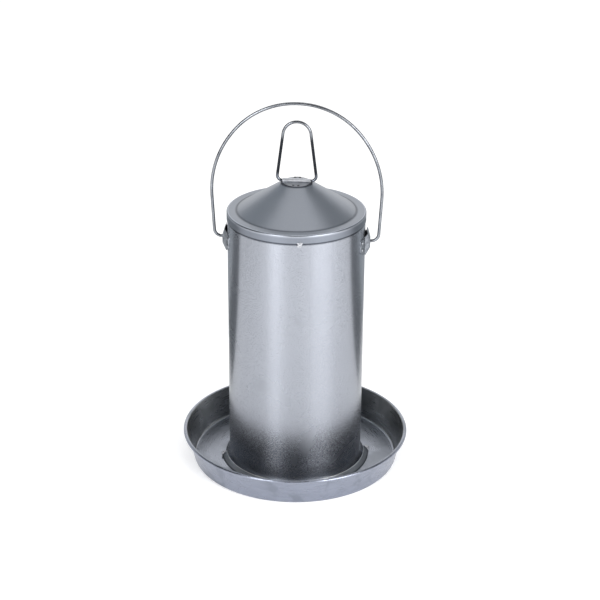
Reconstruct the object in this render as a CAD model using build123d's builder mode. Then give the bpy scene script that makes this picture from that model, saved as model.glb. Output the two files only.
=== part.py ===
from build123d import *
import os
from math import asin, atan2, copysign, cos, degrees, hypot, radians, sin, sqrt, tan

os.makedirs("parts", exist_ok=True)

# A siphon drinker for poultry in sheet steel, in millimetres. A straight reservoir tube with a
# conical cap stands in a round tray with a curled rim. The tube's flared foot sits under a
# C-shaped retainer that is tacked to the tray's floor, and water leaves through a hole at the
# back of the foot. A wire bail turns in two pressed ears near the top of the tube, and a small
# wire loop turns in a saddle clip on the nose of the cap.
# The tube's axis is Z, the underside of the tray is z = 0, the front is -Y and the bail's
# pivots lie on X. Angles are counted from +X towards +Y.

# Sheets, wires and the play between pieces that touch
tray_sheet = 0.8
tube_sheet = 0.7
cap_sheet = 0.6
ear_sheet = 0.8
clip_sheet = 0.8
retainer_sheet = 1.0
bail_wire = 3.4
loop_wire = 3.2
contact_play = 0.03
pivot_play = 0.08
skirt_play = 0.1

# Tray
tray_floor_diameter = 231.0
tray_rim_diameter = 254.8
tray_curl_height = 32.0
tray_corner_radius = 3.6
tray_crease_height = 11.8
tray_crease_out = 2.6
tray_crease_bend = 8.0
tray_curl_radius = 1.35
tray_curl_turn = 290.0

# Reservoir tube
tube_diameter = 150.0
tube_length = 296.0
foot_flare_radius = 8.0
foot_flare_turn = 64.0
outlet_diameter = 10.0
outlet_above_flare = 9.5
outlet_angle = 90.0
seam_angle = 122.0
seam_width = 6.0
seam_fold = 0.9
seam_line_width = 0.5
seam_line_depth = 0.3

# Retainer on the tray's floor
retainer_flare_room = 3.3
retainer_height = 5.2
retainer_lean = 45.0
retainer_from = -168.0
retainer_to = 7.0

# Cap
cap_skirt_depth = 9.6
cap_edge_radius = 1.6
cap_ring_width = 11.0
cap_crease_radius = 2.5
cap_slope = 33.2
cap_nose_diameter = 33.0
cap_nose_bend = 3.0

# Saddle clip and lifting loop
clip_width = 30.5
clip_disc_diameter = 31.6
clip_root_radius = 1.0
loop_height = 65.9
loop_top_radius = 15.0
loop_lean = 7.3
loop_corner_radius = 5.5
loop_butt_gap = 0.4

# Ears and bail
ear_below_skirt = 9.8
ear_rise = 14.0
ear_drop = 13.5
ear_face_rise = 3.3
ear_face_drop = 6.0
ear_bulge = 5.5
ear_mouth = 2.2
ear_face_half_width = 4.6
ear_bulge_half_width = 11.5
ear_crown_half_width = 4.5
ear_valley_rise = 5.0
ear_valley_out = 12.5
ear_foot_half_width = 8.0
ear_lobe_radius = 4.6
ear_edge_radius = 1.0
bail_side_room = 11.4
bail_leg_height = 53.0
bail_leg_lean = 3.2
bail_bend_radius = 8.0
bail_arch_rise = 7.7
bail_arch_shoulder = 4.9
bail_head_diameter = 5.2
bail_head_length = 1.2
bail_end_room = 0.5

# Rivets and tacks
ear_rivet_angle = 15.5
ear_rivet_rise = 4.7
ear_rivet_drop = 3.0
ear_rivet_head = 4.4
ear_rivet_shank = 2.4
clip_rivet_pitch = 5.4
clip_rivet_out = 12.6
clip_rivet_head = 2.8
clip_rivet_shank = 1.5
rivet_dome_share = 0.26
retainer_tacks = {
    "right_end": (6.5, 5.4),
    "front_right": (-47.0, 4.4),
    "front_left": (-97.0, 3.2),
    "left_end": (-167.5, 5.4),
}
cap_tack_angles = {"front": -83.0, "rear_right": 37.0, "rear_left": 157.0}
cap_tack_diameter = 5.0

# Levels and radii that follow from the sizes above
tube_radius = tube_diameter / 2
tube_bore_radius = tube_radius - tube_sheet
floor_level = tray_sheet
tube_top = floor_level + tube_length
rim_level = tube_top + cap_edge_radius
skirt_bore_radius = tube_radius + skirt_play
cap_radius = skirt_bore_radius + cap_sheet
skirt_level = rim_level - cap_skirt_depth
cone_foot_radius = cap_radius - cap_ring_width
nose_radius = cap_nose_diameter / 2
nose_level = rim_level + (cone_foot_radius - nose_radius) * tan(radians(cap_slope))
loop_bore_radius = loop_wire / 2 + pivot_play
loop_level = nose_level + contact_play + loop_bore_radius
pivot_level = skirt_level - ear_below_skirt - ear_rise
ear_seat_radius = tube_radius + contact_play
ear_face_radius = ear_seat_radius + ear_bulge
flare_level = floor_level + foot_flare_radius * sin(radians(foot_flare_turn))
flare_radius = tube_radius + foot_flare_radius * (1 - cos(radians(foot_flare_turn)))
retainer_radius = flare_radius + retainer_flare_room + retainer_sheet / cos(radians(retainer_lean))


def around(angle, radius, level):
    """Point at an angle around the tube's axis."""
    return Vector(radius * cos(radians(angle)), radius * sin(radians(angle)), level)


def outward(angle):
    """Unit direction away from the tube's axis."""
    return Vector(cos(radians(angle)), sin(radians(angle)), 0)


def radial_plane(angle):
    """Upright plane through the tube's axis, whose x runs outward and whose y is up."""
    return Plane(origin=(0, 0, 0), x_dir=outward(angle), z_dir=outward(angle).cross(Vector(0, 0, 1)))


def save(builder, name):
    """Labels a finished piece and writes its file."""
    builder.part.label = name
    export_step(builder.part, f"parts/{name}.step")


def left_of(way):
    """Unit direction to the left of another one, in a sketch."""
    return Vector(-way.Y, way.X)


def wire_run(start, way, runs, inset=0):
    """Chain of flats, given by length, and bends, given by radius and turn to the left. The
    inset moves the whole chain to the left. Returns its two ends."""
    heading = Vector(way).normalized()
    first = place = Vector(start) + left_of(heading) * inset
    for run in runs:
        if isinstance(run, tuple):
            radius, turn = run
            reach = copysign(radius, turn) - inset
            JernArc(place, heading, abs(reach), turn)
            next_heading = heading.rotate(Axis.Z, turn)
            place = place + (left_of(heading) - left_of(next_heading)) * reach
            heading = next_heading
        else:
            PolarLine(place, run, direction=heading)
            place = place + heading * run
    return first, place


def bent_sheet(start, way, runs, sheet):
    """Outline of a bent sheet's section. The sheet lies left of the runs, or right of them if
    its thickness is negative."""
    near = wire_run(start, way, runs)
    far = wire_run(start, way, runs, sheet)
    Line(near[0], far[0])
    Line(near[1], far[1])


# Tray: one pressed sheet. The line follows the underside and the outer face of the wall, then
# becomes the inside of the curled rim, and the sheet lies on its left.
curl_centre = Vector(
    tray_rim_diameter / 2 - tray_curl_radius - tray_sheet,
    tray_curl_height,
)
crease_out = Vector(tray_crease_out, tray_crease_height)
crease = Vector(tray_floor_diameter / 2) + crease_out
to_curl = curl_centre - crease
lower_lean = degrees(atan2(crease_out.X, crease_out.Y))
upper_lean = degrees(
    atan2(to_curl.X, to_curl.Y) - asin(tray_curl_radius / to_curl.length)
)
upper_wall = sqrt(to_curl.length**2 - tray_curl_radius**2)
corner_cut = tray_corner_radius * tan(radians((90 - lower_lean) / 2))
bend_cut = tray_crease_bend * tan(radians(abs(upper_lean - lower_lean) / 2))

with BuildPart() as tray:
    with BuildSketch(Plane.XZ):
        with BuildLine():
            bent_sheet(
                (0, 0),
                (1, 0),
                [
                    tray_floor_diameter / 2 - corner_cut,
                    (tray_corner_radius, 90 - lower_lean),
                    crease_out.length - corner_cut - bend_cut,
                    (tray_crease_bend, lower_lean - upper_lean),
                    upper_wall - bend_cut,
                    (tray_curl_radius, -tray_curl_turn),
                ],
                tray_sheet,
            )
        make_face()
    revolve(axis=Axis.Z)
save(tray, "tray")


# Retainer: a leaning C-shaped band round the front of the tube's foot.
lean_way = Vector(-sin(radians(retainer_lean)), cos(radians(retainer_lean)))
with BuildPart() as foot_retainer:
    with BuildSketch(radial_plane(retainer_from)):
        with BuildLine():
            bent_sheet(
                Vector(retainer_radius, floor_level) - lean_way * retainer_sheet,
                lean_way,
                [retainer_height / lean_way.Y + retainer_sheet],
                retainer_sheet,
            )
        make_face()
    revolve(axis=Axis.Z, revolution_arc=retainer_to - retainer_from)
    split(bisect_by=Plane.XY.offset(floor_level), keep=Keep.TOP)
save(foot_retainer, "foot_retainer")


# Tacks of weld between the retainer's outer edge and the floor.
for place_name, (angle, size) in retainer_tacks.items():
    with BuildPart() as retainer_tack:
        with Locations(around(angle, retainer_radius - size / 4, floor_level)):
            Sphere(size / 2)
        split(bisect_by=Plane.XY.offset(floor_level), keep=Keep.TOP)
        add(foot_retainer.part, mode=Mode.SUBTRACT)
        kept = retainer_tack.solids().sort_by(SortBy.VOLUME)[-1]
        add(kept, mode=Mode.REPLACE)
    save(retainer_tack, f"retainer_tack_{place_name}")

# Reservoir tube: rolled sheet with a flared foot, closed by a folded seam at the back.
with BuildPart() as reservoir_tube:
    with BuildSketch(Plane.XZ):
        with BuildLine():
            bent_sheet(
                (tube_radius, tube_top),
                (0, -1),
                [tube_top - flare_level, (foot_flare_radius, foot_flare_turn)],
                -tube_sheet,
            )
        make_face()
    revolve(axis=Axis.Z)
    split(bisect_by=Plane.XY.offset(floor_level), keep=Keep.TOP)
    seam_plane = Plane(origin=around(seam_angle, 0, flare_level), x_dir=outward(seam_angle))
    with BuildSketch(seam_plane):
        with Locations((tube_bore_radius, 0)):
            Rectangle(2 * seam_fold, seam_width)
        Circle(tube_bore_radius, mode=Mode.INTERSECT)
    extrude(amount=tube_top - flare_level)
    with BuildSketch(seam_plane):
        with Locations((tube_radius, -seam_width / 2)):
            Rectangle(2 * seam_line_depth, seam_line_width)
    extrude(amount=tube_top - flare_level, mode=Mode.SUBTRACT)
    outlet_plane = Plane(
        origin=around(outlet_angle, 0, flare_level + outlet_above_flare),
        z_dir=outward(outlet_angle),
    )
    with BuildSketch(outlet_plane):
        Circle(outlet_diameter / 2)
    extrude(amount=tube_diameter, mode=Mode.SUBTRACT)
    for side in (0, 180):
        for step in (-ear_rivet_angle, ear_rivet_angle):
            for rise in (ear_rivet_rise, -ear_rivet_drop):
                angle = side + step
                with BuildSketch(
                    Plane(origin=around(angle, 0, pivot_level + rise), z_dir=outward(angle))
                ):
                    Circle(ear_rivet_shank / 2 + contact_play)
                extrude(amount=tube_diameter, mode=Mode.SUBTRACT)
save(reservoir_tube, "reservoir_tube")

# Cap: one spun sheet. The line follows the outside, from the nose down the cone, over the flat
# ring and the rounded edge to the skirt, and the sheet lies on its right.
nose_cut = cap_nose_bend * tan(radians(cap_slope / 2))
cone_cut = cap_crease_radius * tan(radians(cap_slope / 2))
cone_length = (cone_foot_radius - nose_radius) / cos(radians(cap_slope))

with BuildPart() as cap:
    with BuildSketch(Plane.XZ):
        with BuildLine():
            bent_sheet(
                (0, nose_level),
                (1, 0),
                [
                    nose_radius - nose_cut,
                    (cap_nose_bend, -cap_slope),
                    cone_length - nose_cut - cone_cut,
                    (cap_crease_radius, cap_slope),
                    cap_ring_width - cone_cut - cap_edge_radius,
                    (cap_edge_radius, -90),
                    cap_skirt_depth - cap_edge_radius,
                ],
                -cap_sheet,
            )
        make_face()
    revolve(axis=Axis.Z)
    with Locations(Plane.XY.offset(nose_level)):
        with Locations(
            *[
                (across, out)
                for across in (-clip_rivet_pitch / 2, clip_rivet_pitch / 2)
                for out in (-clip_rivet_out, clip_rivet_out)
            ]
        ):
            Hole(clip_rivet_shank / 2 + contact_play, depth=4 * cap_sheet)
save(cap, "cap")

# Tacks between the skirt's lower edge and the tube.
for place_name, angle in cap_tack_angles.items():
    with BuildPart() as cap_tack:
        with Locations(around(angle, tube_radius, skirt_level)):
            Sphere(cap_tack_diameter / 2)
        with Locations((0, 0, skirt_level)):
            Cylinder(tube_radius, 2 * cap_tack_diameter, mode=Mode.SUBTRACT)
        with Locations((0, 0, skirt_level + cap_tack_diameter)):
            Cylinder(cap_radius, 2 * cap_tack_diameter, mode=Mode.SUBTRACT)
    save(cap_tack, f"cap_tack_{place_name}")


# Rivets: a domed head outside, a shank and a flat set head inside.
def rivet(place, axis_way, across_way, head, shank, grip):
    """Solid rivet whose head sits on place and whose shank runs back through the grip."""
    dome = head * rivet_dome_share
    section = Plane(origin=place, x_dir=across_way, z_dir=across_way.cross(axis_way))
    with BuildPart() as solid:
        with BuildSketch(section):
            with BuildLine():
                RadiusArc((head / 2, 0), (0, dome), -(head**2 / 4 + dome**2) / (2 * dome))
                Polyline(
                    (0, dome),
                    (0, -grip - dome / 2),
                    (head / 2, -grip - dome / 2),
                    (head / 2, -grip),
                    (shank / 2, -grip),
                    (shank / 2, 0),
                    (head / 2, 0),
                )
            make_face()
        revolve(axis=Axis(place, axis_way))
    return solid


ear_outer_radius = ear_seat_radius + ear_sheet
set_head_sag = tube_bore_radius - hypot(tube_bore_radius, ear_rivet_head / 2)
ear_grip = ear_outer_radius + contact_play - tube_bore_radius - set_head_sag + contact_play
for side_name, side in (("right", 0), ("left", 180)):
    for step_name, step in (("front", -ear_rivet_angle), ("rear", ear_rivet_angle)):
        for rise_name, rise in (("upper", ear_rivet_rise), ("lower", -ear_rivet_drop)):
            turn = side + step if side == 0 else side - step
            ear_rivet = rivet(
                around(turn, ear_outer_radius + contact_play, pivot_level + rise),
                outward(turn),
                Vector(0, 0, 1),
                ear_rivet_head,
                ear_rivet_shank,
                ear_grip,
            )
            save(ear_rivet, f"ear_rivet_{side_name}_{step_name}_{rise_name}")

clip_seat_level = nose_level + contact_play
for side_name, across in (("right", clip_rivet_pitch / 2), ("left", -clip_rivet_pitch / 2)):
    for step_name, out in (("front", -clip_rivet_out), ("rear", clip_rivet_out)):
        clip_rivet = rivet(
            Vector(across, out, clip_seat_level + clip_sheet + contact_play),
            Vector(0, 0, 1),
            Vector(1, 0, 0),
            clip_rivet_head,
            clip_rivet_shank,
            clip_sheet + cap_sheet + 3 * contact_play,
        )
        save(clip_rivet, f"clip_rivet_{step_name}_{side_name}")

# Saddle clip: a disc pressed over the loop's wire. The line is the underside of the sheet.
with BuildPart() as loop_clip:
    with BuildSketch(Plane.YZ):
        with BuildLine():
            flange = clip_disc_diameter / 2
            bent_sheet(
                (-flange - clip_root_radius - loop_bore_radius, clip_seat_level),
                (1, 0),
                [
                    flange,
                    (clip_root_radius, 90),
                    loop_bore_radius - clip_root_radius,
                    (loop_bore_radius, -180),
                    loop_bore_radius - clip_root_radius,
                    (clip_root_radius, 90),
                    flange,
                ],
                clip_sheet,
            )
        make_face()
    extrude(amount=clip_width / 2, both=True)
    with BuildSketch(Plane.XY.offset(clip_seat_level - clip_sheet)):
        Circle(clip_disc_diameter / 2)
    extrude(amount=4 * loop_wire, mode=Mode.INTERSECT)
    with Locations(Plane.XY.offset(clip_seat_level + clip_sheet)):
        with Locations(
            *[
                (across, out)
                for across in (-clip_rivet_pitch / 2, clip_rivet_pitch / 2)
                for out in (-clip_rivet_out, clip_rivet_out)
            ]
        ):
            Hole(clip_rivet_shank / 2 + contact_play, depth=2 * clip_sheet)
save(loop_clip, "loop_clip")

# Lifting loop: one wire whose ends meet inside the clip.
crown_level = loop_level + loop_height - loop_top_radius
corner_level = loop_level + loop_corner_radius
leg_side = Vector(cos(radians(loop_lean)), sin(radians(loop_lean)))
leg_length = (
    crown_level - corner_level + (loop_top_radius - loop_corner_radius) * leg_side.Y
) / leg_side.X
corner_out = (loop_top_radius - loop_corner_radius) * leg_side.X + leg_length * leg_side.Y

with BuildLine() as loop_path:
    wire_run(
        (loop_butt_gap / 2, loop_level),
        (1, 0),
        [
            corner_out - loop_butt_gap / 2,
            (loop_corner_radius, 90 + loop_lean),
            leg_length,
            (loop_top_radius, 180 - 2 * loop_lean),
            leg_length,
            (loop_corner_radius, 90 + loop_lean),
            corner_out - loop_butt_gap / 2,
        ],
    )
with BuildPart() as lifting_loop:
    with BuildSketch(Plane.YZ.offset(loop_butt_gap / 2)):
        with Locations((0, loop_level)):
            Circle(loop_wire / 2)
    sweep(path=Plane.XZ * loop_path.wire())
save(lifting_loop, "lifting_loop")


# Ears: pressed sheet lugs. A hipped pocket, open at the top, stands between two riveted lobes,
# and the bail's end comes in through a hole in its face.
def pocket(inset):
    """Hipped block of the pocket, with every face moved inwards by the inset."""
    root = tube_radius - 2 * ear_bulge
    over = ear_rise / 2
    climb = (ear_mouth - ear_bulge) / (ear_rise - ear_face_rise)
    with BuildPart() as block:
        with BuildSketch(Plane.XZ):
            with Locations((ear_seat_radius, pivot_level)):
                Polygon(
                    (root - ear_seat_radius, -ear_drop),
                    (ear_sheet, -ear_drop),
                    (ear_bulge, -ear_face_drop),
                    (ear_bulge, ear_face_rise),
                    (ear_mouth + climb * over, ear_rise + over),
                    (root - ear_seat_radius, ear_rise + over),
                    align=None,
                )
            if inset:
                offset(amount=-inset, kind=Kind.INTERSECTION)
        extrude(amount=ear_bulge_half_width, both=True)
        with BuildSketch(Plane.XY.offset(pivot_level - ear_drop)):
            with BuildLine():
                Polyline(
                    (root, -ear_bulge_half_width),
                    (ear_seat_radius - ear_sheet, -ear_bulge_half_width),
                    (ear_face_radius, -ear_face_half_width),
                    (ear_face_radius, ear_face_half_width),
                    (ear_seat_radius - ear_sheet, ear_bulge_half_width),
                    (root, ear_bulge_half_width),
                    close=True,
                )
            make_face()
            if inset:
                offset(amount=-inset, kind=Kind.INTERSECTION)
        extrude(amount=ear_drop + ear_rise + over, mode=Mode.INTERSECT)
        edges = block.edges().filter_by(lambda edge: edge.center().X > ear_seat_radius + 1)
        if ear_edge_radius > inset:
            fillet(edges, ear_edge_radius - inset)
    return block.part


rivet_side = ear_seat_radius * sin(radians(ear_rivet_angle))
lobe_foot = -ear_rivet_drop - ear_lobe_radius

with BuildPart() as ear_right:
    with BuildSketch(Plane.YZ.offset(tube_radius - 2 * ear_bulge)) as blank:
        with Locations((0, pivot_level)):
            Polygon(
                (-ear_crown_half_width, ear_rise),
                (-ear_valley_out, ear_valley_rise),
                (-rivet_side, ear_valley_rise),
                (-rivet_side, lobe_foot),
                (-ear_foot_half_width, -ear_drop),
                (ear_foot_half_width, -ear_drop),
                (rivet_side, lobe_foot),
                (rivet_side, ear_valley_rise),
                (ear_valley_out, ear_valley_rise),
                (ear_crown_half_width, ear_rise),
                align=None,
            )
        for rise in (ear_rivet_rise, -ear_rivet_drop):
            with Locations((-rivet_side, pivot_level + rise), (rivet_side, pivot_level + rise)):
                Circle(ear_lobe_radius)
        with Locations((0, pivot_level + (ear_rivet_rise - ear_rivet_drop) / 2)):
            with Locations((-rivet_side, 0), (rivet_side, 0)):
                Rectangle(2 * ear_lobe_radius, ear_rivet_rise + ear_rivet_drop)
    extrude(amount=4 * ear_bulge)
    with Locations((0, 0, pivot_level)):
        Cylinder(ear_outer_radius, 4 * ear_rise, mode=Mode.INTERSECT)
    add(pocket(0))
    extrude(blank.sketch, amount=4 * ear_bulge, mode=Mode.INTERSECT)
    add(pocket(ear_sheet), mode=Mode.SUBTRACT)
    with Locations((0, 0, pivot_level)):
        Cylinder(ear_seat_radius, 4 * ear_rise, mode=Mode.SUBTRACT)
    with BuildSketch(Plane.YZ.offset(ear_seat_radius)):
        with Locations((0, pivot_level)):
            Circle(bail_wire / 2 + pivot_play)
    extrude(amount=2 * ear_bulge, mode=Mode.SUBTRACT)
    for step in (-ear_rivet_angle, ear_rivet_angle):
        for rise in (ear_rivet_rise, -ear_rivet_drop):
            hole_plane = Plane(origin=around(step, 0, pivot_level + rise), z_dir=outward(step))
            with BuildSketch(hole_plane):
                Circle(ear_rivet_shank / 2 + contact_play)
            extrude(amount=tube_diameter, mode=Mode.SUBTRACT)
save(ear_right, "ear_right")

with BuildPart() as ear_left:
    add(ear_right.part)
    mirror(about=Plane.YZ, mode=Mode.REPLACE)
save(ear_left, "ear_left")

# Bail: one wire. Its ends turn in towards the tube, pass through the ears and are upset inside.
# The arch is a tighter arc at the crown between two wider arcs that run down into the legs.
end_out = ear_seat_radius + bail_end_room
arch_half_width = ear_face_radius + bail_side_room
arch_drop = bail_arch_rise + bail_arch_shoulder
side_extra = (arch_drop**2 - bail_arch_shoulder**2) / (2 * bail_arch_shoulder)
crown_radius = arch_half_width - bail_arch_shoulder
side_radius = arch_half_width + side_extra
side_turn = degrees(atan2(arch_drop, side_extra))
spring_level = pivot_level + bail_leg_height
lean_cos = cos(radians(bail_leg_lean))
lean_sin = sin(radians(bail_leg_lean))
leg_head_level = spring_level - side_radius * lean_sin
leg_foot_level = pivot_level + bail_bend_radius * (1 - lean_sin)
bail_leg = (leg_head_level - leg_foot_level) / lean_cos
bend_out = (
    side_radius * lean_cos - side_extra - bail_leg * lean_sin - bail_bend_radius * lean_cos
)

with BuildLine() as bail_path:
    wire_run(
        (end_out, pivot_level),
        (1, 0),
        [
            bend_out - end_out,
            (bail_bend_radius, 90 - bail_leg_lean),
            bail_leg,
            (side_radius, bail_leg_lean + side_turn),
            (crown_radius, 180 - 2 * side_turn),
            (side_radius, bail_leg_lean + side_turn),
            bail_leg,
            (bail_bend_radius, 90 - bail_leg_lean),
            bend_out - end_out,
        ],
    )
with BuildPart() as bail:
    with BuildSketch(Plane.YZ.offset(end_out)):
        with Locations((0, pivot_level)):
            Circle(bail_wire / 2)
    sweep(path=Plane.XZ * bail_path.wire())
    for side in (-1, 1):
        with BuildSketch(Plane.YZ.offset(side * end_out)):
            with Locations((0, pivot_level)):
                Circle(bail_head_diameter / 2)
        extrude(amount=side * bail_head_length)
save(bail, "bail")
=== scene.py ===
import math

import bpy
from mathutils import Matrix, Vector


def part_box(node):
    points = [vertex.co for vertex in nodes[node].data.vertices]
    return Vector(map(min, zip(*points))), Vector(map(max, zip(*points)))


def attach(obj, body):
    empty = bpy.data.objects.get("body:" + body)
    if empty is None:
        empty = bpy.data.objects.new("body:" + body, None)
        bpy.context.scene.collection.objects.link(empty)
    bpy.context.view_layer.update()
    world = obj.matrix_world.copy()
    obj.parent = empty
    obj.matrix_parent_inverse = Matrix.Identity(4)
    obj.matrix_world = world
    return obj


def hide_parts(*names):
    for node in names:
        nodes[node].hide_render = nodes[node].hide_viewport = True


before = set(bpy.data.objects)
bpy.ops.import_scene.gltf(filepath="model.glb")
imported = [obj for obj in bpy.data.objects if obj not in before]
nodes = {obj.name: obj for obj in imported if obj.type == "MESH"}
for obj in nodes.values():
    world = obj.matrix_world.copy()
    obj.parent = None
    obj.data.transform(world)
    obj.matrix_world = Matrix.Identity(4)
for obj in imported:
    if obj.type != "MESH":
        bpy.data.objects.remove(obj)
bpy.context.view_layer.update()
print("frame loaded,", len(nodes), "nodes")


# Small helpers

def deselectAll():
    bpy.ops.object.select_all(action="DESELECT")


def makeActive(thing):
    deselectAll()
    thing.select_set(True)
    bpy.context.view_layer.objects.active = thing


def nodesNamed(start):
    return [nodes[name] for name in sorted(nodes) if name.startswith(start)]


# The way out from the drinker's axis: azimuth 0 is in front and 90 degrees on the right
def wayOut(azimuth, rise):
    return Vector((
        math.sin(azimuth) * math.cos(rise),
        -math.cos(azimuth) * math.cos(rise),
        math.sin(rise),
    ))


# Node trees: thin helpers, so that the trees below read top to bottom
def addNode(tree, kind, at, **values):
    node = tree.nodes.new(kind)
    node.location = at
    for name, value in values.items():
        setattr(node, name, value)
    return node


def setInputs(node, values):
    for name, value in values.items():
        node.inputs[name].default_value = value


def link(tree, source, target):
    tree.links.new(source, target)


def newMaterial(name, values):
    material = bpy.data.materials.new(name)
    material.use_nodes = True
    shader = material.node_tree.nodes["Principled BSDF"]
    setInputs(shader, values)
    return material, material.node_tree, shader


# Shared effects

# A group that takes in and puts out numbers only
def newGroup(name, inputs, outputs):
    group = bpy.data.node_groups.new(name, "ShaderNodeTree")
    for label in inputs:
        group.interface.new_socket(label, in_out="INPUT", socket_type="NodeSocketFloat")
    for label in outputs:
        group.interface.new_socket(label, in_out="OUTPUT", socket_type="NodeSocketFloat")
    return group


# The place on the object: whole, split, and with the height left out
def addPlace(tree):
    coords = addNode(tree, "ShaderNodeTexCoord", (-1100, 300))
    split = addNode(tree, "ShaderNodeSeparateXYZ", (-920, 300))
    flat = addNode(tree, "ShaderNodeCombineXYZ", (-740, 420))
    link(tree, coords.outputs["Object"], split.inputs[0])
    link(tree, split.outputs["X"], flat.inputs["X"])
    link(tree, split.outputs["Y"], flat.inputs["Y"])
    return coords, split, flat


# Lines that run round the drinker's axis, as on spun or rolled sheet
def makeSpunGrain():
    group = newGroup(
        "spunGrain", ("Line Density", "Streak Turns", "Patch Size"), ("Fine", "Broad"))
    start = addNode(group, "NodeGroupInput", (-1100, 0))
    end = addNode(group, "NodeGroupOutput", (600, 0))
    coords, split, flat = addPlace(group)
    length = addNode(group, "ShaderNodeVectorMath", (-560, 420), operation="LENGTH")
    around = addNode(group, "ShaderNodeVectorMath", (-560, 560), operation="NORMALIZE")
    link(group, flat.outputs[0], length.inputs[0])
    link(group, flat.outputs[0], around.inputs[0])
    across = addNode(group, "ShaderNodeCombineXYZ", (-380, 300))
    link(group, length.outputs["Value"], across.inputs["X"])
    link(group, split.outputs["Z"], across.inputs["Y"])
    dense = addNode(group, "ShaderNodeVectorMath", (-200, 300), operation="SCALE")
    link(group, across.outputs[0], dense.inputs[0])
    link(group, start.outputs["Line Density"], dense.inputs["Scale"])
    # the noise moves on slowly round the axis, which ends one streak and starts the next
    bend = addNode(group, "ShaderNodeVectorMath", (-200, 480), operation="SCALE")
    link(group, around.outputs[0], bend.inputs[0])
    link(group, start.outputs["Streak Turns"], bend.inputs["Scale"])
    spread = addNode(group, "ShaderNodeSeparateXYZ", (-40, 480))
    link(group, bend.outputs[0], spread.inputs[0])
    drift = addNode(group, "ShaderNodeCombineXYZ", (110, 480))
    link(group, spread.outputs["X"], drift.inputs["Z"])
    place = addNode(group, "ShaderNodeVectorMath", (250, 380), operation="ADD")
    link(group, dense.outputs[0], place.inputs[0])
    link(group, drift.outputs[0], place.inputs[1])
    fine = addNode(group, "ShaderNodeTexNoise", (400, 200), noise_dimensions="4D")
    setInputs(fine, {"Scale": 1.0, "Detail": 3.0, "Roughness": 0.65})
    link(group, place.outputs[0], fine.inputs["Vector"])
    link(group, spread.outputs["Y"], fine.inputs["W"])
    link(group, fine.outputs["Fac"], end.inputs["Fine"])
    broad = addNode(group, "ShaderNodeTexNoise", (400, -60))
    setInputs(broad, {"Detail": 2.0})
    link(group, coords.outputs["Object"], broad.inputs["Vector"])
    link(group, start.outputs["Patch Size"], broad.inputs["Scale"])
    link(group, broad.outputs["Fac"], end.inputs["Broad"])
    return group


# Soft marks left by hands and cloths
def makeSmudges():
    group = newGroup("smudges", ("Size", "Coverage"), ("Mask",))
    start = addNode(group, "NodeGroupInput", (-700, 0))
    end = addNode(group, "NodeGroupOutput", (200, 0))
    coords = addNode(group, "ShaderNodeTexCoord", (-700, 250))
    cloud = addNode(group, "ShaderNodeTexNoise", (-500, 150))
    setInputs(cloud, {"Detail": 5.0, "Distortion": 0.6})
    link(group, coords.outputs["Object"], cloud.inputs["Vector"])
    link(group, start.outputs["Size"], cloud.inputs["Scale"])
    softness = 0.14
    edge = addNode(group, "ShaderNodeMath", (-300, -80), operation="ADD")
    setInputs(edge, {1: softness})
    link(group, start.outputs["Coverage"], edge.inputs[0])
    ramp = addNode(group, "ShaderNodeMapRange", (-60, 80), interpolation_type="SMOOTHSTEP")
    link(group, cloud.outputs["Fac"], ramp.inputs["Value"])
    link(group, start.outputs["Coverage"], ramp.inputs["From Min"])
    link(group, edge.outputs[0], ramp.inputs["From Max"])
    link(group, ramp.outputs[0], end.inputs["Mask"])
    return group


# 0 at the clear level and 1 at the full level, whichever of the two is higher
def makeLevelFade():
    group = newGroup("levelFade", ("Clear Level", "Full Level"), ("Mask",))
    start = addNode(group, "NodeGroupInput", (-300, -60))
    end = addNode(group, "NodeGroupOutput", (200, 0))
    coords = addNode(group, "ShaderNodeTexCoord", (-500, 120))
    split = addNode(group, "ShaderNodeSeparateXYZ", (-300, 120))
    ramp = addNode(group, "ShaderNodeMapRange", (-60, 80), interpolation_type="SMOOTHSTEP")
    link(group, coords.outputs["Object"], split.inputs[0])
    link(group, split.outputs["Z"], ramp.inputs["Value"])
    link(group, start.outputs["Clear Level"], ramp.inputs["From Min"])
    link(group, start.outputs["Full Level"], ramp.inputs["From Max"])
    link(group, ramp.outputs[0], end.inputs["Mask"])
    return group


# Which way a face looks: towards the drinker's axis, as inside the tray, or straight up
def makeFacing():
    group = newGroup("facing", (), ("Inward", "Upward"))
    end = addNode(group, "NodeGroupOutput", (400, 0))
    coords, _, flat = addPlace(group)
    unit = addNode(group, "ShaderNodeVectorMath", (-560, 300), operation="NORMALIZE")
    along = addNode(group, "ShaderNodeVectorMath", (-380, 200), operation="DOT_PRODUCT")
    up = addNode(group, "ShaderNodeSeparateXYZ", (-560, -20))
    wall = addNode(group, "ShaderNodeMapRange", (100, 200), interpolation_type="SMOOTHSTEP")
    setInputs(wall, {"From Min": -0.3, "From Max": -0.8})
    level = addNode(group, "ShaderNodeMapRange", (100, -60), interpolation_type="SMOOTHSTEP")
    setInputs(level, {"From Min": 0.6, "From Max": 0.95})
    link(group, flat.outputs[0], unit.inputs[0])
    link(group, unit.outputs[0], along.inputs[0])
    link(group, coords.outputs["Normal"], along.inputs[1])
    link(group, coords.outputs["Normal"], up.inputs[0])
    link(group, along.outputs["Value"], wall.inputs["Value"])
    link(group, up.outputs["Z"], level.inputs["Value"])
    link(group, wall.outputs[0], end.inputs["Inward"])
    link(group, level.outputs[0], end.inputs["Upward"])
    return group


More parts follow.
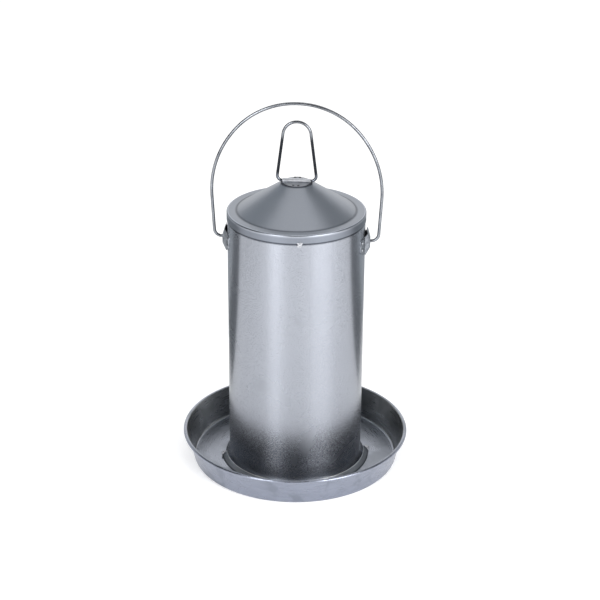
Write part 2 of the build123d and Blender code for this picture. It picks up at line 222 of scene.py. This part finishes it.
# A line that runs round the axis at one radius and level: 1 on it, 0 beyond its reach
def makeRoundLine():
    group = newGroup("roundLine", ("Radius", "Level", "Reach"), ("Mask",))
    start = addNode(group, "NodeGroupInput", (-1100, -100))
    end = addNode(group, "NodeGroupOutput", (400, 0))
    _, split, flat = addPlace(group)
    length = addNode(group, "ShaderNodeVectorMath", (-560, 420), operation="LENGTH")
    offRadius = addNode(group, "ShaderNodeMath", (-380, 300), operation="SUBTRACT")
    offLevel = addNode(group, "ShaderNodeMath", (-380, 100), operation="SUBTRACT")
    both = addNode(group, "ShaderNodeCombineXYZ", (-200, 200))
    away = addNode(group, "ShaderNodeVectorMath", (0, 200), operation="LENGTH")
    ramp = addNode(group, "ShaderNodeMapRange", (200, 100), interpolation_type="SMOOTHSTEP")
    setInputs(ramp, {"To Min": 1.0, "To Max": 0.0})
    link(group, flat.outputs[0], length.inputs[0])
    link(group, length.outputs["Value"], offRadius.inputs[0])
    link(group, start.outputs["Radius"], offRadius.inputs[1])
    link(group, split.outputs["Z"], offLevel.inputs[0])
    link(group, start.outputs["Level"], offLevel.inputs[1])
    link(group, offRadius.outputs[0], both.inputs["X"])
    link(group, offLevel.outputs[0], both.inputs["Y"])
    link(group, both.outputs[0], away.inputs[0])
    link(group, away.outputs["Value"], ramp.inputs["Value"])
    link(group, start.outputs["Reach"], ramp.inputs["From Max"])
    link(group, ramp.outputs[0], end.inputs["Mask"])
    return group


spunGrain = makeSpunGrain()
facing = makeFacing()
roundLine = makeRoundLine()
smudges = makeSmudges()
levelFade = makeLevelFade()
print("shared effects made")


# Metals

# Steel sheet with lines round the axis. Dark and light are the two tones of its grain, and
# its gloss goes from rough[0] to rough[1] while the grain goes through glossSpan.
def makeSheetSteel(name, settings):
    material, tree, shader = newMaterial(name, {
        "Metallic": 1.0, "Anisotropic": settings["stretch"], "Anisotropic Rotation": 0.25})
    tangent = addNode(tree, "ShaderNodeTangent", (-260, -420), direction_type="RADIAL", axis="Z")
    link(tree, tangent.outputs[0], shader.inputs["Tangent"])
    grain = addNode(tree, "ShaderNodeGroup", (-1150, 150), node_tree=spunGrain)
    setInputs(grain, {
        "Line Density": settings["lines"],
        "Streak Turns": settings["streaks"],
        "Patch Size": settings["patch"],
    })
    marks = addNode(tree, "ShaderNodeGroup", (-1150, -150), node_tree=smudges)
    setInputs(marks, {"Size": settings["smudgeSize"], "Coverage": settings["smudgeCover"]})
    blend = addNode(tree, "ShaderNodeMix", (-900, 220), data_type="FLOAT")
    setInputs(blend, {"Factor": 0.3})
    link(tree, grain.outputs["Fine"], blend.inputs["A"])
    link(tree, grain.outputs["Broad"], blend.inputs["B"])
    tone = addNode(tree, "ShaderNodeMapRange", (-700, 220))
    setInputs(tone, {"From Min": 0.32, "From Max": 0.68})
    link(tree, blend.outputs["Result"], tone.inputs["Value"])
    metal = addNode(tree, "ShaderNodeMix", (-480, 220), data_type="RGBA")
    setInputs(metal, {"A": (*settings["dark"], 1), "B": (*settings["light"], 1)})
    link(tree, tone.outputs[0], metal.inputs["Factor"])
    share = addNode(tree, "ShaderNodeMath", (-480, 20), operation="MULTIPLY")
    setInputs(share, {1: settings["smudgeShare"]})
    link(tree, marks.outputs["Mask"], share.inputs[0])
    dull = addNode(tree, "ShaderNodeMix", (-260, 220), data_type="RGBA")
    setInputs(dull, {"B": (*settings["smudge"], 1)})
    link(tree, share.outputs[0], dull.inputs["Factor"])
    link(tree, metal.outputs["Result"], dull.inputs["A"])
    link(tree, dull.outputs["Result"], shader.inputs["Base Color"])
    gloss = addNode(tree, "ShaderNodeMapRange", (-480, -160))
    setInputs(gloss, {
        "From Min": settings["glossSpan"][0], "From Max": settings["glossSpan"][1],
        "To Min": settings["rough"][0], "To Max": settings["rough"][1],
    })
    link(tree, grain.outputs["Fine"], gloss.inputs["Value"])
    smudgeDulls = 0.08
    duller = addNode(tree, "ShaderNodeMath", (-260, -160), operation="MULTIPLY_ADD")
    setInputs(duller, {1: smudgeDulls})
    link(tree, marks.outputs["Mask"], duller.inputs[0])
    link(tree, gloss.outputs[0], duller.inputs[2])
    link(tree, duller.outputs[0], shader.inputs["Roughness"])
    bump = addNode(tree, "ShaderNodeBump", (-260, -620))
    setInputs(bump, {"Strength": 0.15, "Distance": settings["bump"]})
    link(tree, grain.outputs["Fine"], bump.inputs["Height"])
    link(tree, bump.outputs[0], shader.inputs["Normal"])
    return material


# Drawn wire and small metal pieces: an even metal with faint marks
def makePlainSteel(name, settings):
    material, tree, shader = newMaterial(name, {"Metallic": settings["metallic"]})
    coords = addNode(tree, "ShaderNodeTexCoord", (-1000, 0))
    cloud = addNode(tree, "ShaderNodeTexNoise", (-800, 0))
    setInputs(cloud, {"Scale": settings["marks"], "Detail": 4.0})
    link(tree, coords.outputs["Object"], cloud.inputs["Vector"])
    tone = addNode(tree, "ShaderNodeMapRange", (-600, 120))
    setInputs(tone, {"From Min": 0.35, "From Max": 0.65})
    link(tree, cloud.outputs["Fac"], tone.inputs["Value"])
    metal = addNode(tree, "ShaderNodeMix", (-400, 120), data_type="RGBA")
    setInputs(metal, {"A": (*settings["dark"], 1), "B": (*settings["light"], 1)})
    link(tree, tone.outputs[0], metal.inputs["Factor"])
    link(tree, metal.outputs["Result"], shader.inputs["Base Color"])
    gloss = addNode(tree, "ShaderNodeMapRange", (-400, -100))
    setInputs(gloss, {"To Min": settings["rough"][0], "To Max": settings["rough"][1]})
    link(tree, cloud.outputs["Fac"], gloss.inputs["Value"])
    link(tree, gloss.outputs[0], shader.inputs["Roughness"])
    bump = addNode(tree, "ShaderNodeBump", (-400, -360))
    setInputs(bump, {"Strength": 0.3, "Distance": settings["bump"]})
    link(tree, cloud.outputs["Fac"], bump.inputs["Height"])
    link(tree, bump.outputs[0], shader.inputs["Normal"])
    return material


# Multiplies a finish by a colour where a mask is 1. A colour above 1 brightens.
def tint(material, mask, colour, share):
    tree = material.node_tree
    shader = tree.nodes["Principled BSDF"]
    source = shader.inputs["Base Color"].links[0].from_socket
    amount = addNode(tree, "ShaderNodeMath", (-260, 520), operation="MULTIPLY")
    setInputs(amount, {1: share})
    link(tree, mask, amount.inputs[0])
    tinted = addNode(tree, "ShaderNodeMix", (-60, 420), data_type="RGBA", blend_type="MULTIPLY")
    setInputs(tinted, {"B": (*colour, 1)})
    link(tree, amount.outputs[0], tinted.inputs["Factor"])
    link(tree, source, tinted.inputs["A"])
    link(tree, tinted.outputs["Result"], shader.inputs["Base Color"])


# Painted shade in a crease or under an edge, and painted highlights on edges, both as lines round
# the axis
def tintLine(material, radius, level, reach, share, colour):
    line = addNode(material.node_tree, "ShaderNodeGroup", (-480, 720), node_tree=roundLine)
    setInputs(line, {"Radius": radius, "Level": level, "Reach": reach})
    tint(material, line.outputs["Mask"], colour, share)


# All that lies beyond one level, fading in up to another
def tintLevels(material, clear, full, colour):
    fade = addNode(material.node_tree, "ShaderNodeGroup", (-480, 520), node_tree=levelFade)
    setInputs(fade, {"Clear Level": clear, "Full Level": full})
    tint(material, fade.outputs["Mask"], colour, 1.0)


# What faces one way, as the facing group tells
def tintFacing(material, way, colour):
    view = addNode(material.node_tree, "ShaderNodeGroup", (-480, 520), node_tree=facing)
    tint(material, view.outputs[way], colour, 1.0)


# The metals. Colours are linear and a bump is in metres. Lines, streaks, patch, smudgeSize
# and marks are scales of noise, so a higher number makes finer marks.
# a dark colour multiplied into creases and edges below: painted shade
paintedShade = (0.12, 0.13, 0.15)
sheetDefaults = {
    "streaks": 40.0, "smudgeSize": 18.0, "smudgeCover": 0.6, "smudgeShare": 0.35,
    "stretch": 0.3, "glossSpan": (0.4, 0.6), "bump": 0.000002,
}
sheetFinishes = {
    "tubeSteel": {
        "dark": (0.333, 0.351, 0.393), "light": (0.363, 0.381, 0.425),
        "smudge": (0.318, 0.334, 0.372), "rough": (0.27, 0.66), "glossSpan": (0.54, 0.6),
        "lines": 5000, "patch": 9, "stretch": 0.8, "bump": 0.0000005,
    },
    "capSteel": {
        "dark": (0.314, 0.336, 0.38), "light": (0.373, 0.398, 0.444),
        "smudge": (0.309, 0.332, 0.371), "rough": (0.36, 0.43), "lines": 2500, "patch": 12,
    },
    "traySteel": {
        "dark": (0.23, 0.248, 0.3), "light": (0.285, 0.306, 0.37),
        "smudge": (0.2, 0.218, 0.26), "rough": (0.26, 0.36), "lines": 800, "patch": 22,
        "smudgeSize": 34.0, "smudgeCover": 0.5, "smudgeShare": 0.7, "streaks": 7.0,
    },
    "bandSteel": {
        "dark": (0.42, 0.44, 0.48), "light": (0.55, 0.57, 0.62),
        "smudge": (0.35, 0.37, 0.4), "rough": (0.34, 0.44), "lines": 1500, "patch": 40,
    },
}
plainFinishes = {
    "fittingSteel": {
        "dark": (0.17, 0.182, 0.205), "light": (0.33, 0.35, 0.385),
        "rough": (0.26, 0.4), "marks": 210, "bump": 0.00006,
    },
    "clipSteel": {
        "dark": (0.53, 0.547, 0.58), "light": (0.68, 0.697, 0.735),
        "rough": (0.34, 0.42), "marks": 160, "bump": 0.00002,
    },
    "bailSteel": {
        "dark": (0.16, 0.169, 0.186), "light": (0.27, 0.283, 0.307),
        "rough": (0.22, 0.3), "marks": 60, "bump": 0.000002,
    },
    "loopSteel": {
        "dark": (0.14, 0.148, 0.164), "light": (0.22, 0.231, 0.252),
        "rough": (0.14, 0.2), "marks": 60, "bump": 0.000002,
    },
    "rivetMetal": {
        "dark": (0.2, 0.212, 0.235), "light": (0.36, 0.375, 0.405),
        "rough": (0.34, 0.46), "marks": 300, "bump": 0.00004,
    },
    # near black: painted shade for the dark dots at the clip's rivets
    "clipRivetMetal": {
        "dark": (0.06, 0.064, 0.07), "light": (0.12, 0.126, 0.137),
        "rough": (0.3, 0.4), "marks": 300, "bump": 0.00004,
    },
    # the tacks are pale and only partly metallic, a painted highlight for their bright glint
    "weldMetal": {
        "dark": (0.24, 0.25, 0.275), "light": (0.56, 0.57, 0.6),
        "rough": (0.26, 0.42), "marks": 900, "bump": 0.0001, "metallic": 0.35,
    },
}
metals = {}
for name, settings in sheetFinishes.items():
    metals[name] = makeSheetSteel(name, {**sheetDefaults, **settings})
for name, settings in plainFinishes.items():
    metals[name] = makePlainSteel(name, {"metallic": 1.0, **settings})

# Lines round the axis: radius, level and reach in metres, how much, and the tint, which is
# painted shade or a painted highlight
roundLines = {
    "tubeSteel": [
        (0.0752, 0.2882, 0.0021, 1.0, paintedShade),  # painted shade on the tube under the cap's skirt
    ],
    "capSteel": [
        (0.065, 0.2985, 0.0024, 0.6, paintedShade),  # painted shade at the foot of the cone
        (0.0757, 0.2887, 0.0012, 0.8, paintedShade),  # painted shade at the skirt's lower edge
        (0.0743, 0.2984, 0.0008, 1.0, (1.6, 1.6, 1.6)),  # painted highlight on the rim's inner edge
        (0.0752, 0.298, 0.0006, 0.45, paintedShade),  # painted shade on the rim's bend
        (0.0164, 0.3293, 0.0018, 1.0, paintedShade),  # painted shade round the clip
    ],
    "bandSteel": [
        (0.0842, 0.001, 0.0026, 0.85, paintedShade),  # painted shade where it stands on the tray
        (0.079, 0.006, 0.0016, 1.0, (2.2, 2.2, 2.2)),  # painted highlight on its upper edge
    ],
    "clipSteel": [
        (0.0158, 0.3301, 0.0011, 1.0, paintedShade),  # painted shade at the disc's edge
    ],
}
for name, lines in roundLines.items():
    for radius, level, reach, share, colour in lines:
        tintLine(metals[name], radius, level, reach, share, colour)
tintLevels(metals["capSteel"], 0.2968, 0.295, (0.6, 0.61, 0.63))  # painted shade: the skirt darker than the cone and rim
tintLevels(metals["clipSteel"], 0.3314, 0.3309, (0.42, 0.43, 0.45))  # painted shade: the disc darker than the roll
tintLevels(metals["loopSteel"], 0.386, 0.376, (0.1, 0.105, 0.115))  # painted shade on the legs, for the dark reflections on them
tintLevels(metals["loopSteel"], 0.342, 0.336, (6.5, 6.4, 6.2))  # its lower corners lightened again, partly out of that painted shade
# inward faces darker and warmer: painted shade inside the tray
tintFacing(metals["traySteel"], "Inward", (0.83, 0.8, 0.69))
# upward faces brightened: painted light
tintFacing(metals["traySteel"], "Upward", (1.45, 1.43, 1.35))

# Which nodes take which metal, by the start of their names: a later row overrules
nodeMetals = {
    "tray": "traySteel",
    "reservoir_tube": "tubeSteel",
    "cap": "capSteel",
    "foot_retainer": "bandSteel",
    "retainer_tack": "weldMetal",
    "cap_tack": "weldMetal",
    "ear_rivet": "rivetMetal",
    "clip_rivet": "clipRivetMetal",
    "ear_right": "fittingSteel",
    "ear_left": "fittingSteel",
    "loop_clip": "clipSteel",
    "lifting_loop": "loopSteel",
    "bail": "bailSteel",
}
for start, name in nodeMetals.items():
    for node in nodesNamed(start):
        node.data.materials.clear()
        node.data.materials.append(metals[name])
print("metals made")


# A weld tack: a few lumps of melted metal run into one, modelled about 2 units across
weldLumps = {
    "lumps": [
        ((0, 0, 0), 0.72), ((0.62, 0.2, 0.05), 0.42), ((1.05, 0.42, -0.1), 0.26),
        ((-0.55, -0.3, 0.0), 0.45), ((-1.0, -0.2, -0.1), 0.28), ((0.15, -0.62, -0.05), 0.38),
        ((-0.3, 0.6, 0.05), 0.4), ((-0.62, 0.95, -0.1), 0.24), ((0.5, 0.75, -0.1), 0.28),
        ((0.05, 0.1, 0.45), 0.4),
    ],
    "voxel": 0.1,
    "smoothings": 3,
    "roughen": 0.035,
    "seed": 7,
    "flatten": 0.7,
}


def shapeWeld(settings):
    deselectAll()
    lumps = []
    for place, radius in settings["lumps"]:
        bpy.ops.mesh.primitive_ico_sphere_add(subdivisions=3, radius=radius, location=place)
        lumps.append(bpy.context.object)
    deselectAll()
    for lump in lumps:
        lump.select_set(True)
    bpy.context.view_layer.objects.active = lumps[0]
    bpy.ops.object.join()
    weld = lumps[0]
    melt = weld.modifiers.new("melt", "REMESH")
    melt.mode = "VOXEL"
    melt.voxel_size = settings["voxel"]
    bpy.ops.object.modifier_apply(modifier=melt.name)
    run = weld.modifiers.new("run", "SMOOTH")
    run.iterations = settings["smoothings"]
    bpy.ops.object.modifier_apply(modifier=run.name)
    bpy.ops.object.mode_set(mode="EDIT")
    bpy.ops.mesh.select_all(action="SELECT")
    bpy.ops.transform.vertex_random(
        offset=settings["roughen"], uniform=0.2, normal=0.8, seed=settings["seed"])
    bpy.ops.transform.resize(value=(1, 1, settings["flatten"]))
    bpy.ops.object.mode_set(mode="OBJECT")
    bpy.ops.object.shade_smooth()
    return weld


# Each tack: the metres that a unit of the model takes, its turn in its own plane, the rise of
# the way it stands off the sheet, and how far it lies above its solid. Its azimuth is that of
# its solid, unless it has one here.
tacks = {
    "cap_tack_front": {"scale": 0.0028, "turn": 15, "rise": 5, "lift": -0.0008, "azimuth": 6.9},
    "cap_tack_rear_left": {"scale": 0.002, "turn": 130, "rise": 5, "lift": 0},
    "cap_tack_rear_right": {"scale": 0.002, "turn": 250, "rise": 5, "lift": 0},
    "retainer_tack_front_left": {"scale": 0.0017, "turn": 60, "rise": 55, "lift": 0},
    "retainer_tack_front_right": {"scale": 0.0027, "turn": 200, "rise": 55, "lift": 0.0016},
    "retainer_tack_left_end": {"scale": 0.0027, "turn": 300, "rise": 60, "lift": 0.0024},
    "retainer_tack_right_end": {"scale": 0.0027, "turn": 100, "rise": 60, "lift": 0.0024},
}


def placeWeld(model, node, settings):
    low, high = (Vector(corner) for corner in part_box(node))
    middle = (low + high) / 2 + Vector((0, 0, settings["lift"]))
    azimuth = math.atan2(middle.x, -middle.y)
    if "azimuth" in settings:
        azimuth = math.radians(settings["azimuth"])
    out = wayOut(azimuth, math.radians(settings["rise"]))
    stand = out.to_track_quat("Z", "Y").to_matrix().to_4x4()
    turn = Matrix.Rotation(math.radians(settings["turn"]), 4, "Z")
    scale = Matrix.Scale(settings["scale"], 4)
    weld = model.copy()
    weld.data = model.data.copy()
    weld.name = node + "_bead"
    bpy.context.scene.collection.objects.link(weld)
    weld.data.transform(Matrix.Translation(middle) @ stand @ turn @ scale)
    weld.data.materials.append(metals["weldMetal"])
    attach(weld, "drinker")
    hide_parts(node)


weldModel = shapeWeld(weldLumps)
for node, settings in tacks.items():
    placeWeld(weldModel, node, settings)
bpy.data.objects.remove(weldModel)
print("weld tacks made")


# The saddle clip: as in the CAD, with only a tongue behind the wire
clipShape = {
    "tongueRadius": 0.0066,
    "tongueMiddle": 0.0084,
    "rollBack": 0.0027,
    "blockWidth": 0.04,
    "blockHeight": 0.012,
    "cutterHeight": 0.03,
    "overrun": 0.001,
    "weldWithin": 0.000001,
    "sharpFrom": 35,
}


def addBlock(size, middle):
    deselectAll()
    bpy.ops.mesh.primitive_cube_add(size=1, location=middle)
    bpy.ops.object.mode_set(mode="EDIT")
    bpy.ops.transform.resize(value=size)
    bpy.ops.object.mode_set(mode="OBJECT")
    return bpy.context.object


def shapeClip(settings):
    source = nodes["loop_clip"]
    low, high = (Vector(corner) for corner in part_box("loop_clip"))
    clip = source.copy()
    clip.data = source.data.copy()
    clip.parent = None
    clip.name = "saddle_clip"
    bpy.context.scene.collection.objects.link(clip)
    makeActive(clip)
    bpy.ops.object.mode_set(mode="EDIT")
    bpy.ops.mesh.select_all(action="SELECT")
    bpy.ops.mesh.remove_doubles(threshold=settings["weldWithin"])
    bpy.ops.object.mode_set(mode="OBJECT")
    # what is cut away behind the roll: a block with a tongue-shaped bay
    overrun = settings["overrun"]
    tongueMiddle = settings["tongueMiddle"]
    back, front = high.y + overrun, settings["rollBack"]
    level = (low.z + high.z) / 2
    block = addBlock(
        (settings["blockWidth"], back - front, settings["blockHeight"]),
        (0, (back + front) / 2, level))
    deselectAll()
    bpy.ops.mesh.primitive_cylinder_add(
        vertices=72, radius=settings["tongueRadius"], depth=settings["cutterHeight"],
        location=(0, tongueMiddle, level))
    bay = bpy.context.object
    neck = addBlock(
        (2 * settings["tongueRadius"], tongueMiddle - front + 2 * overrun,
         settings["cutterHeight"]),
        (0, (front + tongueMiddle) / 2 - overrun, level))
    for piece, cutter in ((block, bay), (block, neck), (clip, block)):
        cut = piece.modifiers.new("cut", "BOOLEAN")
        cut.operation = "DIFFERENCE"
        cut.solver = "EXACT"
        cut.object = cutter
        bpy.context.view_layer.objects.active = piece
        bpy.ops.object.modifier_apply(modifier=cut.name)
    for cutter in (block, bay, neck):
        bpy.data.objects.remove(cutter)
    makeActive(clip)
    bpy.ops.object.shade_smooth_by_angle(angle=math.radians(settings["sharpFrom"]))
    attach(clip, "drinker")
    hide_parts("loop_clip")
    return clip


saddleClip = shapeClip(clipShape)
print("saddle clip made,", len(saddleClip.data.polygons), "faces")


# Floor and light

# 1 for what the camera sees straight, in gloss or through glass
def seenRays(tree):
    path = addNode(tree, "ShaderNodeLightPath", (-900, 0))
    seen = addNode(tree, "ShaderNodeMath", (-650, 60), operation="MAXIMUM")
    seenAll = addNode(tree, "ShaderNodeMath", (-450, 60), operation="MAXIMUM")
    link(tree, path.outputs["Is Camera Ray"], seen.inputs[0])
    link(tree, path.outputs["Is Glossy Ray"], seen.inputs[1])
    link(tree, seen.outputs[0], seenAll.inputs[0])
    link(tree, path.outputs["Is Transmission Ray"], seenAll.inputs[1])
    return seenAll.outputs[0]


floorSettings = {"size": 24, "level": -0.0002, "tone": 0.93, "lift": 0.2}


def makeFloor(settings):
    tone = settings["tone"]
    material, tree, shader = newMaterial("paleFloor", {
        "Base Color": (tone, tone, tone, 1), "Roughness": 0.9,
        "Specular IOR Level": 0.0, "Emission Color": (1, 1, 1, 1),
    })
    lift = addNode(tree, "ShaderNodeMath", (-220, -300), operation="MULTIPLY")
    setInputs(lift, {1: settings["lift"]})
    link(tree, seenRays(tree), lift.inputs[0])
    link(tree, lift.outputs[0], shader.inputs["Emission Strength"])
    deselectAll()
    bpy.ops.mesh.primitive_plane_add(size=settings["size"], location=(0, 0, settings["level"]))
    floor = bpy.context.object
    floor.name = "floor"
    floor.data.materials.append(material)


# Grey and black cards that show only in the metal, as flags in a studio do. Those with an
# aim stand and face the drinker at that height, the others lie on the floor.
cards = {
    "leftEnd": {"size": (1.8, 0.24), "middle": (-1.1, 0.245, 0.001), "tone": 0.15},
    "rightEnd": {"size": (1.8, 0.24), "middle": (1.1, 0.265, 0.001), "tone": 0.15},
    "farFloor": {"size": (3.8, 1.5), "middle": (0, 1.13, 0.0008), "tone": 0.5},
    "frontFlag": {"size": (4.8, 3.6), "middle": (0, -2.3, 1.95), "aim": 0.3, "tone": 0.02},
    "leftSide": {"size": (3.8, 2.9), "middle": (-2.4, -0.7, 1.55), "aim": 0.3, "tone": 0.03},
    "rightSide": {"size": (3.8, 2.9), "middle": (2.4, -0.7, 1.55), "aim": 0.3, "tone": 0.03},
    "leftFlag": {"size": (1.1, 1.4), "middle": (-0.95, 0.75, 1.35), "aim": 0.3, "tone": 0.34},
    "rightFlag": {"size": (1.1, 1.4), "middle": (0.95, 0.75, 1.35), "aim": 0.3, "tone": 0.22},
}
coolGrey = (0.93, 1.0, 1.05)


def showOnlyInMetal(card, tone, glow):
    material = newMaterial(card.name, {
        "Base Color": (*(tone * channel for channel in coolGrey), 1), "Roughness": 1.0,
        "Specular IOR Level": 0.0, "Emission Color": (1, 1, 1, 1), "Emission Strength": glow,
    })[0]
    card.data.materials.append(material)
    card.visible_camera = False
    card.visible_diffuse = False
    card.visible_shadow = False


def makeCard(name, settings):
    middle = Vector(settings["middle"])
    face = Vector((0, 0, 1))
    if "aim" in settings:
        face = Vector((0, 0, settings["aim"])) - middle
    deselectAll()
    bpy.ops.mesh.primitive_plane_add(
        size=1, location=middle, rotation=face.to_track_quat("Z", "Y").to_euler())
    card = bpy.context.object
    card.name = name
    card.scale = (*settings["size"], 1)
    showOnlyInMetal(card, settings["tone"], 0.0)


# Two bright wedges on the floor, where a glossy table would show the soft boxes
wedges = {
    "leftWedge": {
        "azimuth": -29, "spread": 22, "near": 0.2, "far": 1.3, "level": 0.0015, "glow": 1.6,
    },
    "rightWedge": {
        "azimuth": 46, "spread": 42, "near": 0.2, "far": 1.3, "level": 0.0015, "glow": 1.55,
    },
}


def makeWedge(name, settings):
    near, far = settings["near"], settings["far"]
    spread = math.tan(math.radians(settings["spread"] / 2)) * 2
    deselectAll()
    bpy.ops.mesh.primitive_plane_add(size=1, location=(0, 0, 0))
    card = bpy.context.object
    card.name = name
    bpy.ops.object.mode_set(mode="EDIT")
    bpy.ops.transform.resize(value=(spread * near, far - near, 1))
    bpy.ops.mesh.select_all(action="DESELECT")
    bpy.ops.object.mode_set(mode="OBJECT")
    for vertex in card.data.vertices:
        vertex.select = vertex.co.y > 0
    bpy.ops.object.mode_set(mode="EDIT")
    bpy.ops.transform.resize(value=(far / near, 1, 1))
    bpy.ops.object.mode_set(mode="OBJECT")
    card.data.transform(Matrix.Translation((0, (near + far) / 2, settings["level"])))
    card.rotation_euler = (0, 0, math.radians(180 + settings["azimuth"]))
    showOnlyInMetal(card, 0.0, settings["glow"])


# The world is white where it is seen, and a little less as light
worldSettings = {"seen": 1.0, "light": 0.85}


def makeWorld(settings):
    world = bpy.data.worlds.new("studio")
    bpy.context.scene.world = world
    world.use_nodes = True
    tree = world.node_tree
    shader = tree.nodes["Background"]
    setInputs(shader, {"Color": (1, 1, 1, 1)})
    level = addNode(tree, "ShaderNodeMix", (-220, 60), data_type="FLOAT")
    setInputs(level, {"A": settings["light"], "B": settings["seen"]})
    link(tree, seenRays(tree), level.inputs["Factor"])
    link(tree, level.outputs["Result"], shader.inputs["Strength"])


# Two tall soft boxes, in front to the left and to the right, that point at the tube
softBoxes = {
    "left": {
        "azimuth": -28, "rise": 20, "distance": 1.9, "aim": 0.16, "size": (0.6, 1.1), "power": 20,
    },
    "right": {
        "azimuth": 46, "rise": 20, "distance": 1.9, "aim": 0.16, "size": (1.2, 1.1), "power": 31,
    },
}


def makeSoftBox(name, settings):
    light = bpy.data.lights.new(name + "Box", "AREA")
    light.shape = "RECTANGLE"
    light.size, light.size_y = settings["size"]
    light.energy = settings["power"]
    lamp = bpy.data.objects.new(name + "Box", light)
    bpy.context.scene.collection.objects.link(lamp)
    way = wayOut(math.radians(settings["azimuth"]), math.radians(settings["rise"]))
    lamp.location = Vector((0, 0, settings["aim"])) + way * settings["distance"]
    lamp.rotation_mode = "QUATERNION"
    lamp.rotation_quaternion = (-way).to_track_quat("-Z", "Y")
    lamp.visible_camera = False


makeFloor(floorSettings)
for name, settings in cards.items():
    makeCard(name, settings)
for name, settings in wedges.items():
    makeWedge(name, settings)
makeWorld(worldSettings)
for name, settings in softBoxes.items():
    makeSoftBox(name, settings)

# The camera stands in front and above, a little to the right of the bail's middle
cameraSettings = {
    "distance": 1.6826,
    "height": 0.95,
    "around": 4.2,
    "pan": 0.153,
    "tilt": 24.276,
    "roll": 0.427,
    "lens": 100,
    "sensor": 36,
    "farthest": 60,
}


def makeCamera(settings):
    data = bpy.data.cameras.new("photoCamera")
    data.lens = settings["lens"]
    data.sensor_width = settings["sensor"]
    data.clip_end = settings["farthest"]
    camera = bpy.data.objects.new("photoCamera", data)
    bpy.context.scene.collection.objects.link(camera)
    around = math.radians(settings["around"])
    place = wayOut(around, 0) * settings["distance"]
    place.z = settings["height"]
    turn = Matrix.Rotation(around - math.radians(settings["pan"]), 4, "Z")
    tilt = Matrix.Rotation(math.radians(90 - settings["tilt"]), 4, "X")
    roll = Matrix.Rotation(math.radians(settings["roll"]), 4, "Z")
    camera.matrix_world = Matrix.Translation(place) @ turn @ tilt @ roll
    bpy.context.scene.camera = camera


makeCamera(cameraSettings)
bpy.context.scene.view_settings.view_transform = "Standard"
print("floor, lights and camera placed")
